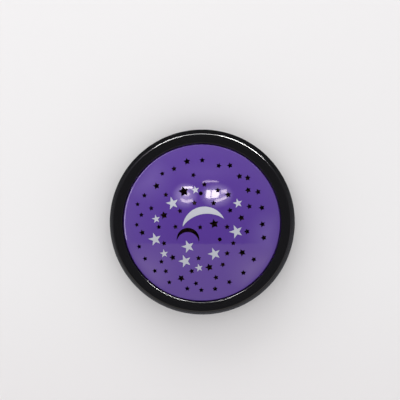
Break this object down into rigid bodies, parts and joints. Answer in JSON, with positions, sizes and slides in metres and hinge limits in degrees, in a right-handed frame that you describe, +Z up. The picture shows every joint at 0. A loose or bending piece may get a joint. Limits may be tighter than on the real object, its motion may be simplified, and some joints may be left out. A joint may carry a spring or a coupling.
{
  "type": "star night light",
  "caption": "Round push light with a purple dome pierced by stars and a crescent, a black ring and tub, lamp board, batteries and battery door.",
  "frame": {"origin": "on the resting plane under the feet, at the middle of the round base", "axes": "+Z up out of the dome's top, +Y towards the top of the dome's pattern, +X to its right"},
  "size_m": [0.1412, 0.1412, 0.0465],
  "materials": {
    "purple_shell": "moulded purple plastic, high gloss",
    "white_ink": "pad-printed white ink",
    "gloss_black": "moulded black plastic, high gloss",
    "matte_black": "moulded black plastic, fine matte texture",
    "foot_rubber": "moulded rubber",
    "screw_steel": "zinc-plated steel",
    "contact_steel": "nickel-plated spring steel",
    "battery_label": "shrink label over a zinc can",
    "board_laminate": "brown paper laminate",
    "lamp_epoxy": "clear epoxy",
    "leg_tin": "tinned steel wire",
    "spacer_nylon": "natural nylon",
    "resistor_lacquer": "beige lacquer",
    "switch_plastic": "glass-filled nylon",
    "button_plastic": "white acetal",
    "red_insulation": "soft PVC",
    "black_insulation": "soft PVC"
  },
  "bodies": {
    "housing": {"base_shell": "matte_black", "bezel_ring": "gloss_black", "rubber_feet": "foot_rubber", "case_screws": "screw_steel", "contact_springs": "contact_steel", "right_bridge_contact": "contact_steel", "left_bridge_contact": "contact_steel", "positive_terminal": "contact_steel", "negative_terminal": "contact_steel", "red_wire": "red_insulation", "black_wire": "black_insulation", "lamp_board": "board_laminate", "board_screws": "screw_steel", "lamp": "lamp_epoxy", "lamp_spacer": "spacer_nylon", "lamp_legs": "leg_tin", "resistor": "resistor_lacquer", "switch_housing": "switch_plastic", "switch_pins": "leg_tin", "return_springs": "contact_steel", "battery_1": "battery_label", "battery_2": "battery_label", "battery_3": "battery_label"},
    "dome": {"star_dome": "purple_shell", "printed_ornaments": "white_ink"},
    "button": {"switch_button": "button_plastic"},
    "battery_door": {"battery_door": "matte_black", "battery_door_screws": "screw_steel"}
  },
  "joints": [
    {"name": "dome_push", "type": "slide", "parent": "housing", "child": "dome", "axis": [0, 0, -1], "range_m": [0, 0.003], "stiffness_N_per_m": 900, "springref_m": -0.003, "deforming": ["return_springs"]},
    {"name": "switch_button_push", "type": "slide", "parent": "housing", "child": "button", "axis": [0, 0, -1], "range_m": [0, 0.0027]},
    {"name": "battery_door_off", "type": "slide", "parent": "housing", "child": "battery_door", "axis": [0, 0, -1], "range_m": [0, 0.014]}
  ],
  "couplings": [
    {"joint": "switch_button_push", "follows": "dome_push", "ratio": 0.9}
  ]
}
